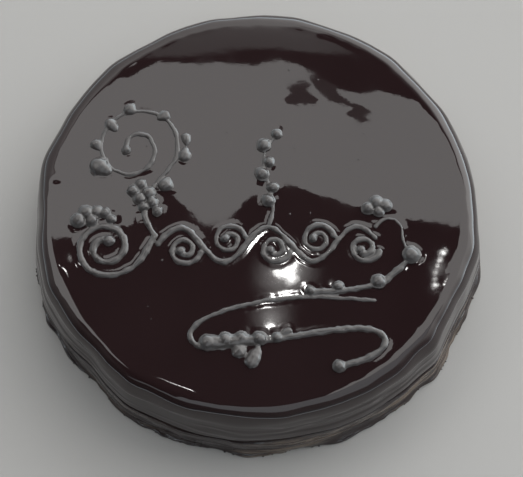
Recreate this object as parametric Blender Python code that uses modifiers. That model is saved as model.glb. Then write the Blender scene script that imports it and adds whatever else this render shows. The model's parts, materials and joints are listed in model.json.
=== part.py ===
"""An uncut round chocolate torte under poured glaze, with piped scrollwork on top.

The cake stands on the XY plane with its middle on the Z axis, and its front faces -Y.
Lengths are in metres. The scrollwork is piped in the same glaze, so it is one piece with the cake.
"""

import math
import random

import bmesh
import bpy
from mathutils import Vector

MM = 0.001
SEED = 24

# The cake's section
HEIGHT = 50 * MM
RIM_RADIUS = 107.5 * MM
WALL_RADIUS = 116.5 * MM
FOOT_RADIUS = 121 * MM
SHOULDER_DROP = 12 * MM
SHOULDER_POWER = 0.9
DISH_DEPTH = 0.3 * MM
CREASE_HEIGHT = 21 * MM
CREASE_DEPTH = 1.2 * MM
LIP_HEIGHT = 2.2 * MM
UNDERCUT = 1.0 * MM
TURN_STEPS = 108
SHOULDER_STEPS = 5

# How uneven the poured glaze is
TOP_WAVE = 0.08 * MM
RIM_WAVE = 1.2 * MM
CREASE_WAVE = 3.0 * MM
LIP_WAVE = 1.1 * MM
# Bulges and dents of the outline: (angle in degrees from +X, push outwards, half width in degrees)
LOBES = (
    (-12, 2.0 * MM, 5),
    (-27, -1.4 * MM, 6),
    (-40, 1.9 * MM, 4),
    (-51, 0.9 * MM, 4),
    (-84, -0.6 * MM, 6),
    (-124, 1.0 * MM, 4),
    (-136, -1.8 * MM, 6),
    (-158, 1.0 * MM, 7),
    (-180, -0.8 * MM, 8),
    (165, 0.6 * MM, 5),
    (141, -0.9 * MM, 5),
    (132, 0.7 * MM, 4),
    (66, -0.9 * MM, 6),
    (49, 0.8 * MM, 4),
    (38, -1.0 * MM, 6),
    (2, -1.3 * MM, 6),
)
# Folds of glaze that reach in from the rim: (angle in degrees, length, height)
RIM_FOLDS = (
    (171, 12 * MM, 0.5 * MM),
    (71, 8 * MM, 0.4 * MM),
    (50, 9 * MM, 0.5 * MM),
    (35, 10 * MM, 0.4 * MM),
)
FOLD_HALF_WIDTH = 2.6 * MM

# The piped strands
STRAND_SIDES_RESOLUTION = 1
STRAND_STEP = 3.6 * MM
STRAND_SINK = 0.12
BEAD_RISE = 0.10
BEAD_SEGMENTS = 8
BEAD_RINGS = 6
DROP_STEPS = 5
WELD_DISTANCE = 0.00002

# The running scroll: a wavy stem with a volute in each hollow
SCROLL_MIDDLE_Y = -22 * MM
SCROLL_HEIGHT = 9.5 * MM
SCROLL_LENGTH = 46 * MM
SCROLL_START_X = -52 * MM
SCROLL_END_X = 62 * MM
FIRST_CREST_X = -40 * MM
STEM_WIDTH = 3.0 * MM
VOLUTE_RADIUS = 8.6 * MM
VOLUTE_EYE = 2.4 * MM
VOLUTE_TURNS = 1.45

MATERIAL_COLOUR = (0.016, 0.009, 0.009, 1.0)
MATERIAL_ROUGHNESS = 0.08


def start_empty_scene():
    """Removes every object, so that only the cake is left in the file."""
    for item in list(bpy.data.objects):
        bpy.data.objects.remove(item)


def smooth_step(value):
    """0 below 0, 1 above 1, and an S-curve between."""
    value = min(max(value, 0.0), 1.0)
    return value * value * (3 - 2 * value)


def hill(distance, half_width):
    """A round hill: 1 in the middle, falling to about a third at its half width."""
    return math.exp(-((distance / half_width) ** 2))


def angle_between(first, second):
    """The signed difference of two angles in degrees, from -180 to 180."""
    return (first - second + 180) % 360 - 180


def cake_section():
    """The half section of the cake as (radius, height), from the middle of the top down to the base."""
    top = [(0.0, HEIGHT - DISH_DEPTH)]
    for share in (0.34, 0.66, 0.86):
        rise = smooth_step((share - 0.55) / 0.45)
        top.append((RIM_RADIUS * share, HEIGHT - DISH_DEPTH * (1 - rise)))
    shoulder = []
    for step in range(SHOULDER_STEPS + 1):
        turn = math.radians(90 * step / SHOULDER_STEPS)
        out = (WALL_RADIUS - RIM_RADIUS) * math.sin(turn) ** SHOULDER_POWER
        drop = SHOULDER_DROP * (1 - max(0.0, math.cos(turn)) ** SHOULDER_POWER)
        shoulder.append((RIM_RADIUS + out, HEIGHT - drop))
    flare = FOOT_RADIUS - WALL_RADIUS
    wall = [
        (WALL_RADIUS + 0.35 * flare, CREASE_HEIGHT + 7 * MM),
        (WALL_RADIUS + 0.45 * flare, CREASE_HEIGHT + 2.5 * MM),
        (WALL_RADIUS + 0.50 * flare - CREASE_DEPTH, CREASE_HEIGHT),
        (WALL_RADIUS + 0.60 * flare, CREASE_HEIGHT - 4 * MM),
        (WALL_RADIUS + 0.75 * flare, CREASE_HEIGHT - 10 * MM),
        (FOOT_RADIUS, LIP_HEIGHT),
        (FOOT_RADIUS - UNDERCUT, 0.0),
        (0.0, 0.0),
    ]
    return top + shoulder + wall


def outline_push(angle):
    """How far the lobes and a fine ripple push the side outwards, at an angle in radians."""
    degrees = math.degrees(angle)
    push = sum(size * hill(angle_between(degrees, at), width) for at, size, width in LOBES)
    ripple = math.sin(11 * angle + 0.7) + 0.8 * math.sin(17 * angle + 2.1) + 0.6 * math.sin(29 * angle)
    return push + 0.22 * MM * ripple


def top_wave(x, y):
    """The slow unevenness of the flat top."""
    broad = math.sin(x / (21 * MM) + 0.6) * math.cos(y / (25 * MM))
    fine = 0.5 * math.sin((x + y) / (14 * MM))
    return TOP_WAVE * (broad + fine)


def fold_lift(x, y):
    """How far the folds that reach in from the rim lift the top."""
    lift = 0.0
    for degrees, length, height in RIM_FOLDS:
        turn = math.radians(degrees)
        along = x * math.cos(turn) + y * math.sin(turn)
        across = y * math.cos(turn) - x * math.sin(turn)
        lift += height * hill(across, FOLD_HALF_WIDTH) * hill(along - RIM_RADIUS, 0.5 * length)
    return lift


def top_height(x, y):
    """The height of the top at a place inside the rim."""
    share = math.hypot(x, y) / RIM_RADIUS
    rise = smooth_step((share - 0.55) / 0.45)
    return HEIGHT - DISH_DEPTH * (1 - rise) + top_wave(x, y) + fold_lift(x, y)


def poured(place):
    """Moves a point of the turned cake to where the uneven glaze has it."""
    x, y, z = place
    radius = math.hypot(x, y)
    if z <= 0.0 and radius < FOOT_RADIUS - 2 * UNDERCUT:
        return place
    angle = math.atan2(y, x)
    on_side = smooth_step((radius - 0.9 * RIM_RADIUS) / (WALL_RADIUS - 0.9 * RIM_RADIUS))
    push = on_side * outline_push(angle)
    on_shoulder = hill(z - (HEIGHT - 0.35 * SHOULDER_DROP), 0.4 * SHOULDER_DROP)
    push += on_side * on_shoulder * RIM_WAVE * math.sin(9 * angle + 1.3) * math.cos(4 * angle)
    near_lip = smooth_step(1 - z / (3 * LIP_HEIGHT))
    push += near_lip * LIP_WAVE * math.sin(16 * angle + 1.9) * math.sin(7 * angle + 3 * math.sin(2 * angle))
    scale = 1 + push / max(radius, MM)
    lift = (1 - on_side) * top_wave(x, y) + (1 - 0.5 * on_side) * fold_lift(x, y) if z > 0.5 * HEIGHT else 0.0
    if 0.0 < z <= HEIGHT - SHOULDER_DROP:
        band = hill(z - CREASE_HEIGHT, 0.5 * CREASE_HEIGHT)
        lift += CREASE_WAVE * band * math.sin(3 * angle + 0.4) * math.cos(2 * angle + 1.0)
    return Vector((x * scale, y * scale, z + lift))


def cake_body(collection):
    """The glazed cake: the section turned about the Z axis, then made as uneven as poured glaze."""
    section = bpy.data.meshes.new("cake_section")
    points = cake_section()
    edges = [(index, index + 1) for index in range(len(points) - 1)]
    section.from_pydata([(radius, 0.0, z) for radius, z in points], edges, [])
    turned = bpy.data.objects.new("glazed_cake", section)
    collection.objects.link(turned)
    screw = turned.modifiers.new("turn", "SCREW")
    screw.angle = math.tau
    screw.steps = screw.render_steps = TURN_STEPS
    screw.use_merge_vertices = True
    screw.merge_threshold = WELD_DISTANCE
    apply_modifiers(turned)
    for vertex in turned.data.vertices:
        vertex.co = poured(vertex.co)
    return turned


def apply_modifiers(item):
    """Replaces an object's mesh by what its modifiers make of it, and removes them."""
    bpy.context.view_layer.update()
    graph = bpy.context.evaluated_depsgraph_get()
    finished = bpy.data.meshes.new_from_object(item.evaluated_get(graph))
    item.modifiers.clear()
    item.data = finished


def between(before, start, end, after, share):
    """The point at a share of the way from start to end, on a smooth curve through all four."""
    place = []
    for a, b, c, d in zip(before, start, end, after):
        bend = (2 * a - 5 * b + 4 * c - d) * share**2
        twist = (3 * b - a - 3 * c + d) * share**3
        place.append(0.5 * (2 * b + (c - a) * share + bend + twist))
    return tuple(place)


def curve_through(points, step=STRAND_STEP):
    """A smooth line through (x, y) points, with a point about every step along it."""
    ends = [points[0]] + list(points) + [points[-1]]
    line = []
    for before, start, end, after in zip(ends, ends[1:], ends[2:], ends[3:]):
        pieces = max(1, round(math.dist(start, end) / step))
        for piece in range(pieces):
            line.append(between(before, start, end, after, piece / pieces))
    return line + [tuple(points[-1])]


def volute(centre, outer, eye, start_degrees, turns):
    """A line that winds in round a centre. A positive number of turns winds anticlockwise."""
    length = math.tau * abs(turns) * 0.5 * (outer + eye)
    count = max(6, round(length / STRAND_STEP))
    line = []
    for index in range(count + 1):
        share = index / count
        radius = outer + (eye - outer) * share
        turn = math.radians(start_degrees) + math.tau * turns * share
        line.append((centre[0] + radius * math.cos(turn), centre[1] + radius * math.sin(turn)))
    return line


def millimetres(*pairs):
    """A line's points, given in millimetres."""
    return [(x * MM, y * MM) for x, y in pairs]


def tapered(count, start, middle, end):
    """Widths along a strand that swells or thins evenly from its start to its middle and on to its end."""
    widths = []
    for index in range(count):
        share = 2 * index / (count - 1)
        if share < 1:
            widths.append(start + (middle - start) * share)
        else:
            widths.append(middle + (end - middle) * (share - 1))
    return widths


def strand(name, line, start, middle, end, collection):
    """A strand of piped glaze along a line on the top, given its widths at the start, middle and end."""
    curve = bpy.data.curves.new(name, "CURVE")
    curve.dimensions = "3D"
    curve.bevel_depth = 1.0 * MM
    curve.bevel_resolution = STRAND_SIDES_RESOLUTION
    curve.use_fill_caps = True
    spline = curve.splines.new("POLY")
    spline.points.add(len(line) - 1)
    for point, (x, y), width in zip(spline.points, line, tapered(len(line), start, middle, end)):
        point.co = (x, y, top_height(x, y) - STRAND_SINK * 0.5 * width, 1.0)
        point.radius = 0.5 * width / curve.bevel_depth
    drawn = bpy.data.objects.new(name, curve)
    collection.objects.link(drawn)
    bpy.context.view_layer.update()
    graph = bpy.context.evaluated_depsgraph_get()
    mesh = bpy.data.meshes.new_from_object(drawn.evaluated_get(graph))
    bpy.data.objects.remove(drawn)
    return add_closed(name, mesh, collection)


def add_closed(name, mesh, collection):
    """Adds a mesh as an object, with its doubled points merged so that it is closed."""
    shape = bmesh.new()
    shape.from_mesh(mesh)
    bmesh.ops.remove_doubles(shape, verts=shape.verts, dist=WELD_DISTANCE)
    bmesh.ops.recalc_face_normals(shape, faces=shape.faces)
    shape.to_mesh(mesh)
    shape.free()
    item = bpy.data.objects.new(name, mesh)
    collection.objects.link(item)
    return item


def bead(name, x, y, width, collection):
    """A round bead of piped glaze, a little flattened, sunk into the top."""
    shape = bmesh.new()
    bmesh.ops.create_uvsphere(shape, u_segments=BEAD_SEGMENTS, v_segments=BEAD_RINGS, radius=0.5 * width)
    for vertex in shape.verts:
        vertex.co.z *= 0.85
        vertex.co += Vector((x, y, top_height(x, y) + BEAD_RISE * width))
    mesh = bpy.data.meshes.new(name)
    shape.to_mesh(mesh)
    shape.free()
    return add_closed(name, mesh, collection)


def drop(name, x, y, length, width, degrees, collection):
    """A drop of glaze pulled out to a point: round at (x, y) and thin at its end, towards an angle."""
    turn = math.radians(degrees)
    line = []
    for index in range(DROP_STEPS):
        reach = length * index / (DROP_STEPS - 1)
        line.append((x + reach * math.cos(turn), y + reach * math.sin(turn)))
    return strand(name, line, 0.8 * width, width, 0.3 * width, collection)


def running_scroll(collection):
    """The wavy stem across the middle, with a volute curled into each hollow."""
    count = round((SCROLL_END_X - SCROLL_START_X) / STRAND_STEP)
    stem = []
    for index in range(count + 1):
        x = SCROLL_START_X + (SCROLL_END_X - SCROLL_START_X) * index / count
        phase = math.tau * (x - FIRST_CREST_X) / SCROLL_LENGTH
        stem.append((x, SCROLL_MIDDLE_Y + SCROLL_HEIGHT * math.cos(phase)))
    strand("stem", stem, STEM_WIDTH, 0.9 * STEM_WIDTH, 0.8 * STEM_WIDTH, collection)
    draw = random.Random(SEED)
    half = 0.5 * SCROLL_LENGTH
    hollows = int((SCROLL_END_X - FIRST_CREST_X) / half) + 1
    for index in range(hollows):
        side = 1 if index % 2 == 0 else -1
        size = draw.uniform(0.9, 1.05)
        centre = (
            FIRST_CREST_X + index * half + 0.5 * half - size * VOLUTE_RADIUS,
            SCROLL_MIDDLE_Y - side * 2.6 * MM,
        )
        line = volute(centre, size * VOLUTE_RADIUS, VOLUTE_EYE, 0, -side * VOLUTE_TURNS)
        strand(f"volute_{index}", line, STEM_WIDTH, 0.8 * STEM_WIDTH, STEM_WIDTH, collection)
        bead(f"volute_bead_{index}", *line[-1], 4.2 * MM, collection)


def left_volute(collection):
    """The large volute at the left end of the stem."""
    line = volute((-78 * MM, -23 * MM), 15.5 * MM, 4 * MM, -75, -1.6)
    join = curve_through(millimetres((-52, -15), (-60, -30), (-68, -36.5)) + [line[0]])
    strand("left_volute", join[:-1] + line, STEM_WIDTH, 2.9 * MM, 3.6 * MM, collection)
    bead("left_volute_bead", *line[-1], 5.5 * MM, collection)


def frond(collection):
    """The tall frond at the left, curled over at its tip, with drops along its outside."""
    path = millimetres(
        (-52, -18), (-58, -6), (-57, 6), (-49, 17), (-42, 29), (-43, 43), (-53, 53), (-67, 54.5), (-78, 47),
        (-82, 34), (-77, 22.5), (-66, 18), (-56.5, 23), (-53.5, 33), (-59, 41), (-67, 39.5), (-69, 33),
    )
    strand("frond", curve_through(path), 2.8 * MM, 1.7 * MM, 2.4 * MM, collection)
    bead("frond_eye", -68.5 * MM, 32 * MM, 4.6 * MM, collection)
    drops = (
        (-70, 57.5, 7, 6, -35), (-79.5, 50, 9, 6, -50), (-87, 26, 13, 9.5, -35), (-86, 38, 7, 5.5, -60),
        (-38.5, 25, 9, 6, 80), (-49.5, 8.5, 9, 7, 62), (-37.5, 42, 8, 5, -85), (-46, 53.5, 8, 5, -150),
    )
    for index, (x, y, length, width, degrees) in enumerate(drops):
        drop(f"frond_drop_{index}", x * MM, y * MM, length * MM, width * MM, degrees, collection)


def bud_sprig(collection):
    """The upright sprig in the middle, with a row of beads up its stem."""
    path = millimetres((6, -12.5), (8.5, -3), (7, 9), (4, 20), (5, 31), (9.5, 38.5))
    strand("sprig", curve_through(path), 2.2 * MM, 1.6 * MM, 1.4 * MM, collection)
    beads = ((11, 40.5, 5.2), (4, 34, 6.4), (6.8, 24.5, 5.2), (3, 17.5, 6.6), (8.6, 10, 5.4), (6.2, 2.5, 6.2))
    for index, (x, y, width) in enumerate(beads):
        bead(f"sprig_bead_{index}", x * MM, y * MM, width * MM, collection)


def bead_clusters(collection):
    """The heaps of beads over the left volute, at the foot of the frond and at the stem's right end."""
    clusters = {
        "berry": (
            (-92.5, -8, 7.2), (-88.5, -3.5, 7.0), (-85.5, -8, 6.0), (-83.2, -3, 5.8), (-78.8, -4, 5.4),
            (-75.4, -7.2, 4.6),
        ),
        "knot": (
            (-64.5, 8.6, 6.0), (-60.2, 12, 5.4), (-56.5, 7, 6.6), (-61, 4, 6.0), (-54.5, 1.8, 5.8),
            (-58.8, -0.6, 5.0), (-51.6, -3, 5.0),
        ),
        "tip": ((58, -2.6, 6.2), (62.4, 0.8, 6.8), (67, -1, 6.4), (63.6, -4.4, 5.4)),
    }
    for name, beads in clusters.items():
        for index, (x, y, width) in enumerate(beads):
            bead(f"{name}_{index}", x * MM, y * MM, width * MM, collection)


def flourish(collection):
    """The long flourish under the scroll, with its beads and drops."""
    link = millimetres((62, -13), (68, -8), (75, -13), (74.5, -21), (79, -28.5))
    strand("flourish_link", curve_through(link), 2.0 * MM, 1.3 * MM, 1.8 * MM, collection)
    upper = millimetres((79.5, -28.5), (73, -36), (64, -43), (52, -46.5), (40, -48), (27, -48.5))
    strand("flourish_upper", curve_through(upper), 3.4 * MM, 2.8 * MM, 3.6 * MM, collection)
    lower = millimetres(
        (61, -53), (46, -52), (27, -51), (7, -52.5), (-10, -56), (-23, -60.5), (-31.5, -66), (-34, -71.5),
        (-30, -76.5), (-20, -76.5), (-6, -75), (8, -73.5), (24, -71), (42, -68.5), (56, -68.5), (63.5, -72),
        (63.5, -77.5), (56, -83.5), (42, -88),
    )
    strand("flourish_lower", curve_through(lower), 1.8 * MM, 2.8 * MM, 3.4 * MM, collection)
    beads = (
        (79.5, -28.5, 8.0), (62, -43, 6.8), (41.5, -45.5, 5.4), (27, -47.5, 5.0), (41, -88, 6.0),
        (-25, -75, 7.4), (-16, -73.5, 6.8), (-8, -72.5, 6.0), (1, -73, 6.6), (10, -72.5, 5.0),
    )
    for index, (x, y, width) in enumerate(beads):
        bead(f"flourish_bead_{index}", x * MM, y * MM, width * MM, collection)
    drops = ((-12.5, -82, 9, 6, 35), (-4.5, -88.5, 13, 6.6, 66), (18, -68, 8, 4, -152))
    for index, (x, y, length, width, degrees) in enumerate(drops):
        drop(f"flourish_drop_{index}", x * MM, y * MM, length * MM, width * MM, degrees, collection)


def glaze_material():
    """Dark chocolate glaze: nearly black, with a mirror gloss."""
    material = bpy.data.materials.new("chocolate_glaze")
    material.use_nodes = True
    shader = material.node_tree.nodes["Principled BSDF"]
    shader.inputs["Base Color"].default_value = MATERIAL_COLOUR
    shader.inputs["Roughness"].default_value = MATERIAL_ROUGHNESS
    shader.inputs["Metallic"].default_value = 0.0
    return material


def fuse(body, collection):
    """Joins every piece of the collection to the body with one union, then removes the pieces."""
    join = body.modifiers.new("fuse", "BOOLEAN")
    join.operation = "UNION"
    join.operand_type = "COLLECTION"
    join.collection = collection
    join.solver = "MANIFOLD"
    apply_modifiers(body)
    for item in list(collection.objects):
        bpy.data.objects.remove(item)
    bpy.data.collections.remove(collection)


def centre_on_axis(body):
    """Moves the mesh so that the middle of its outline lies on the Z axis."""
    xs = [vertex.co.x for vertex in body.data.vertices]
    ys = [vertex.co.y for vertex in body.data.vertices]
    middle = Vector((0.5 * (min(xs) + max(xs)), 0.5 * (min(ys) + max(ys)), 0.0))
    for vertex in body.data.vertices:
        vertex.co -= middle


def new_collection(name):
    """A collection of the scene's own."""
    collection = bpy.data.collections.new(name)
    bpy.context.scene.collection.children.link(collection)
    return collection


def build():
    start_empty_scene()
    cake = new_collection("chocolate_torte")
    piping = new_collection("piping")
    body = cake_body(cake)
    running_scroll(piping)
    left_volute(piping)
    frond(piping)
    bud_sprig(piping)
    bead_clusters(piping)
    flourish(piping)
    fuse(body, piping)
    centre_on_axis(body)
    body.data.materials.clear()
    body.data.materials.append(glaze_material())
    body.data.shade_smooth()
    body.data.set_sharp_from_angle(angle=math.radians(50))


build()
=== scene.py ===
# %% [markdown]
# # A chocolate torte under a mirror glaze
#
# The real cake is a low round torte. Warm chocolate glaze was poured over it in one go, so its top
# is as flat and shiny as a mirror, and its rim is round and soft. Under the rim the glaze runs down
# in one curtain, and below that it was smeared on with a spatula. Scrolls, beads and a flourish were
# piped on top with the same glaze.
#
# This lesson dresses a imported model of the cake. It loads that model as a frame, models the glaze
# and the piping again at full detail in the same place, and lights them as a studio would.

# %% Load the frame
import json
import math
import random

import bpy
import numpy as np
from mathutils import Matrix, Vector

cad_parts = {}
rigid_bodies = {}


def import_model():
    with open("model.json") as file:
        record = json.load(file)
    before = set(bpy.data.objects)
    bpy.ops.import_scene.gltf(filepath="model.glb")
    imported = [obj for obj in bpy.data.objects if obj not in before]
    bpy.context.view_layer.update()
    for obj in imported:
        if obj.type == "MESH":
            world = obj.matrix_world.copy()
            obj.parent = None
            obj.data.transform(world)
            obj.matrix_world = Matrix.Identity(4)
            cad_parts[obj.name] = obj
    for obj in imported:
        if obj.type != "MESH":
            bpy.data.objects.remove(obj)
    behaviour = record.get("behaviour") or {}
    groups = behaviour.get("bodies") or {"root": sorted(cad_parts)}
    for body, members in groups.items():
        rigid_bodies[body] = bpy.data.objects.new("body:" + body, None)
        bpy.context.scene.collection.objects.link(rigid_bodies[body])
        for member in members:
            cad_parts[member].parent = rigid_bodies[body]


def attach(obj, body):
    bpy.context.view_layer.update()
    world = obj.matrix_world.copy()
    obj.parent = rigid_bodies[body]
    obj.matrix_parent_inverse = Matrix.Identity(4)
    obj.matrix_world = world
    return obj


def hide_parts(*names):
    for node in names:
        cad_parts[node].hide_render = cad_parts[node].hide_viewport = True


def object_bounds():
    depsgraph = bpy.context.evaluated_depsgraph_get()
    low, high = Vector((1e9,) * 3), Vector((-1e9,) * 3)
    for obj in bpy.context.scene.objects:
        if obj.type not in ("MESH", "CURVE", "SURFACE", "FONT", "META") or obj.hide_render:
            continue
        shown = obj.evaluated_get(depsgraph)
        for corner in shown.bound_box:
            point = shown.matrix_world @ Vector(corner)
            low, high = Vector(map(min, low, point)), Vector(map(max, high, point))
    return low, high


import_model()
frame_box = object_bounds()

MM = 0.001
print("frame box in mm:", [[round(v / MM, 1) for v in corner] for corner in frame_box])

# %% [markdown]
# ## The camera
#
# The photograph looks down on the cake from in front. Its view was fitted to round outlines in the
# photograph. How flat a circle looks fixes the elevation well. The focal length could not be told
# from them, so it is assumed, and the distance follows from it and from the size of the cake.

# %% The camera
PHOTO_WIDTH = 523
SENSOR_WIDTH = 36.0
FOCAL_PIXELS = 1600.0
VIEW_ELEVATION = math.radians(68.573)
VIEW_DISTANCE = 880.8 * MM
VIEW_ROLL = math.radians(0.47)
VIEW_TARGET = Vector((2.03, 0.59, 0.0)) * MM
SHIFT_PIXELS = (0.99, 1.48)


def make_camera():
    """The photograph's camera: it looks along +Y and down, and is turned a little about its own axis."""
    data = bpy.data.cameras.new("camera")
    data.sensor_width = SENSOR_WIDTH
    data.lens = FOCAL_PIXELS / PHOTO_WIDTH * SENSOR_WIDTH
    data.shift_x = SHIFT_PIXELS[0] / PHOTO_WIDTH
    data.shift_y = SHIFT_PIXELS[1] / PHOTO_WIDTH
    camera = bpy.data.objects.new("camera", data)
    bpy.context.scene.collection.objects.link(camera)
    ahead = Vector((0, math.cos(VIEW_ELEVATION), -math.sin(VIEW_ELEVATION)))
    level = Vector((1, 0, 0))
    upward = level.cross(ahead)
    right = math.cos(VIEW_ROLL) * level - math.sin(VIEW_ROLL) * upward
    top = math.sin(VIEW_ROLL) * level + math.cos(VIEW_ROLL) * upward
    turn = Matrix((right, top, -ahead)).transposed()
    camera.matrix_world = Matrix.Translation(VIEW_TARGET - ahead * VIEW_DISTANCE) @ turn.to_4x4()
    bpy.context.scene.camera = camera
    return camera


camera = make_camera()
print("camera at", [round(v, 3) for v in camera.matrix_world.translation], "lens", round(camera.data.lens, 1))

# %% [markdown]
# ## Helpers for node trees
#
# Both materials and Geometry Nodes are trees of nodes. Written out call by call they get long, so
# small helpers add the nodes and fill their inputs. An input is joined when its value is another
# node's socket, and is set when its value is a number, a vector or a colour.

# %% Helpers for node trees
def fill(tree, node, inputs):
    """Joins or sets a node's inputs, which are given by name or by number."""
    for name, value in inputs.items():
        if isinstance(value, bpy.types.NodeSocket):
            tree.links.new(value, node.inputs[name])
        else:
            node.inputs[name].default_value = value


def add_node(tree, kind, inputs=None, **settings):
    """Adds a node to a tree, with its settings and its inputs."""
    made = tree.nodes.new(kind)
    for name, value in settings.items():
        setattr(made, name, value)
    fill(tree, made, inputs or {})
    return made


def maths(tree, operation, *values):
    """The result of a Math node."""
    return add_node(tree, "ShaderNodeMath", dict(enumerate(values)), operation=operation).outputs[0]


def product(tree, *values):
    """All the values multiplied together."""
    result = values[0]
    for value in values[1:]:
        result = maths(tree, "MULTIPLY", result, value)
    return result


def vector_maths(tree, operation, *values):
    """The vector that a Vector Math node gives."""
    return add_node(tree, "ShaderNodeVectorMath", dict(enumerate(values)), operation=operation).outputs[0]


def apart(tree, vector):
    """The three numbers of a vector."""
    return add_node(tree, "ShaderNodeSeparateXYZ", {0: vector}).outputs


def together(tree, x, y, z):
    """A vector made of three numbers."""
    return add_node(tree, "ShaderNodeCombineXYZ", {0: x, 1: y, 2: z}).outputs[0]


def length_of(tree, vector):
    """How long a vector is."""
    return add_node(tree, "ShaderNodeVectorMath", {0: vector}, operation="LENGTH").outputs["Value"]


def scaled(tree, vector, size):
    """A vector made longer or shorter."""
    return add_node(tree, "ShaderNodeVectorMath", {0: vector, "Scale": size}, operation="SCALE").outputs[0]


def remap(tree, value, low, high, to_low=0.0, to_high=1.0, kind="SMOOTHSTEP"):
    """A value moved from one range to another, and held inside it."""
    names = ("Value", "From Min", "From Max", "To Min", "To Max")
    inputs = dict(zip(names, (value, low, high, to_low, to_high)))
    return add_node(tree, "ShaderNodeMapRange", inputs, interpolation_type=kind).outputs[0]


def even(grain):
    """The same grain along X, Y and Z."""
    return (grain, grain, grain)


def noise(tree, place, stretch, detail=2.0, roughness=0.5):
    """Noise from 0 to 1 whose grain along X, Y and Z is one over the three numbers of stretch."""
    stretched = vector_maths(tree, "MULTIPLY", place, stretch)
    inputs = {"Vector": stretched, "Scale": 1.0, "Detail": detail, "Roughness": roughness}
    return add_node(tree, "ShaderNodeTexNoise", inputs).outputs[0]


def new_geometry_tree(name, **inputs):
    """A Geometry Nodes tree with named inputs. An input is a number, or None for an object."""
    tree = bpy.data.node_groups.new(name, "GeometryNodeTree")
    tree.interface.new_socket("Geometry", in_out="INPUT", socket_type="NodeSocketGeometry")
    for label, value in inputs.items():
        kind = "NodeSocketObject" if value is None else "NodeSocketFloat"
        socket = tree.interface.new_socket(label, in_out="INPUT", socket_type=kind)
        if value is not None:
            socket.default_value = value
    tree.interface.new_socket("Geometry", in_out="OUTPUT", socket_type="NodeSocketGeometry")
    return tree, add_node(tree, "NodeGroupInput").outputs


def end_tree(tree, geometry, material):
    """Ends a tree with its instances made real and its material set."""
    real = add_node(tree, "GeometryNodeRealizeInstances", {"Geometry": geometry})
    painted = add_node(tree, "GeometryNodeSetMaterial", {"Geometry": real.outputs[0], "Material": material})
    add_node(tree, "NodeGroupOutput", {"Geometry": painted.outputs[0]})


def run_tree(item, tree, **values):
    """Puts a Geometry Nodes tree on an object, with its inputs set by their identifiers."""
    modifier = item.modifiers.new(tree.name, "NODES")
    modifier.node_group = tree
    for socket in tree.interface.items_tree:
        if socket.in_out == "INPUT" and socket.name in values:
            modifier[socket.identifier] = values[socket.name]


def freeze(item):
    """Replaces an object's mesh by what its modifiers make of it, and removes them."""
    bpy.context.view_layer.update()
    graph = bpy.context.evaluated_depsgraph_get()
    finished = bpy.data.meshes.new_from_object(item.evaluated_get(graph))
    item.modifiers.clear()
    item.data = finished
    finished.name = item.name
    return item


def new_object(name, places, edges=(), faces=()):
    """A mesh object made of the given places, edges and faces, in metres."""
    mesh = bpy.data.meshes.new(name)
    mesh.from_pydata([tuple(place) for place in places], list(edges), list(faces))
    item = bpy.data.objects.new(name, mesh)
    bpy.context.scene.collection.objects.link(item)
    return item


# %% [markdown]
# ## The finish of the glaze
#
# Chocolate glaze is a thick brown syrup that sets like lacquer. Its own colour is almost black with
# a little red in it, and nearly all the light that it gives is reflected. So the shader's base colour
# is very dark, its roughness is close to that of glass, and the look comes from what it mirrors.
#
# A perfect mirror would look like plastic. Three things break it up: slow waves where the glaze set
# unevenly, which are a bump at a few millimetres, faint patches that are a little duller, and the
# smeared band at the foot, which is rough. Its streaks are also painted a pale brown, which is a
# painted reflection and not the glaze's own colour. The last follows the shape, so the body's own tree
# writes it on the mesh as an attribute called smear, and the material reads it back.

# %% The finish of the glaze
GLAZE_DARK = (0.0155, 0.0080, 0.0087, 1.0)
GLAZE_LIGHT = (0.0208, 0.0109, 0.0118, 1.0)
# The pale brown of the smeared streaks is a painted reflection, far lighter than the glaze's own colour
SMEAR_PAINTED_REFLECTION = (0.15, 0.115, 0.09, 1.0)
GLAZE_IOR = 1.6
WAVE_GRAIN = 150.0
WAVE_DEPTH = 0.004 * MM
PEEL_GRAIN = 700.0
PEEL_DEPTH = 0.0008 * MM
STREAK_GRAIN = (26.0, 26.0, 520.0)
STREAK_DEPTH = 0.3 * MM
PATCH_GRAIN = (14.0, 14.0, 30.0)
TINT_GRAIN = 28.0
DULL_GRAIN = 60.0
# Shares of a noise between which its effect sets in
PATCH_RANGE = (0.36, 0.56)
STREAK_RANGE = (0.46, 0.6)
DULL_RANGE = (0.4, 0.8)
GLAZE_ROUGHNESS = (0.012, 0.035)
WORN_ROUGHNESS = 0.32


def mix_colours(tree, share, first, second):
    """One colour blended into another."""
    return add_node(tree, "ShaderNodeMix", {0: share, 6: first, 7: second}, data_type="RGBA").outputs[2]


def bump(tree, height):
    """The normal of a surface with a bump whose height is in metres."""
    inputs = {"Height": height, "Distance": 1.0, "Strength": 1.0}
    return add_node(tree, "ShaderNodeBump", inputs).outputs[0]


def new_material(name):
    """A new material, its tree, its shader and the object's own coordinates."""
    material = bpy.data.materials.new(name)
    material.use_nodes = True
    tree = material.node_tree
    place = add_node(tree, "ShaderNodeTexCoord").outputs["Object"]
    return material, tree, tree.nodes["Principled BSDF"], place


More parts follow.
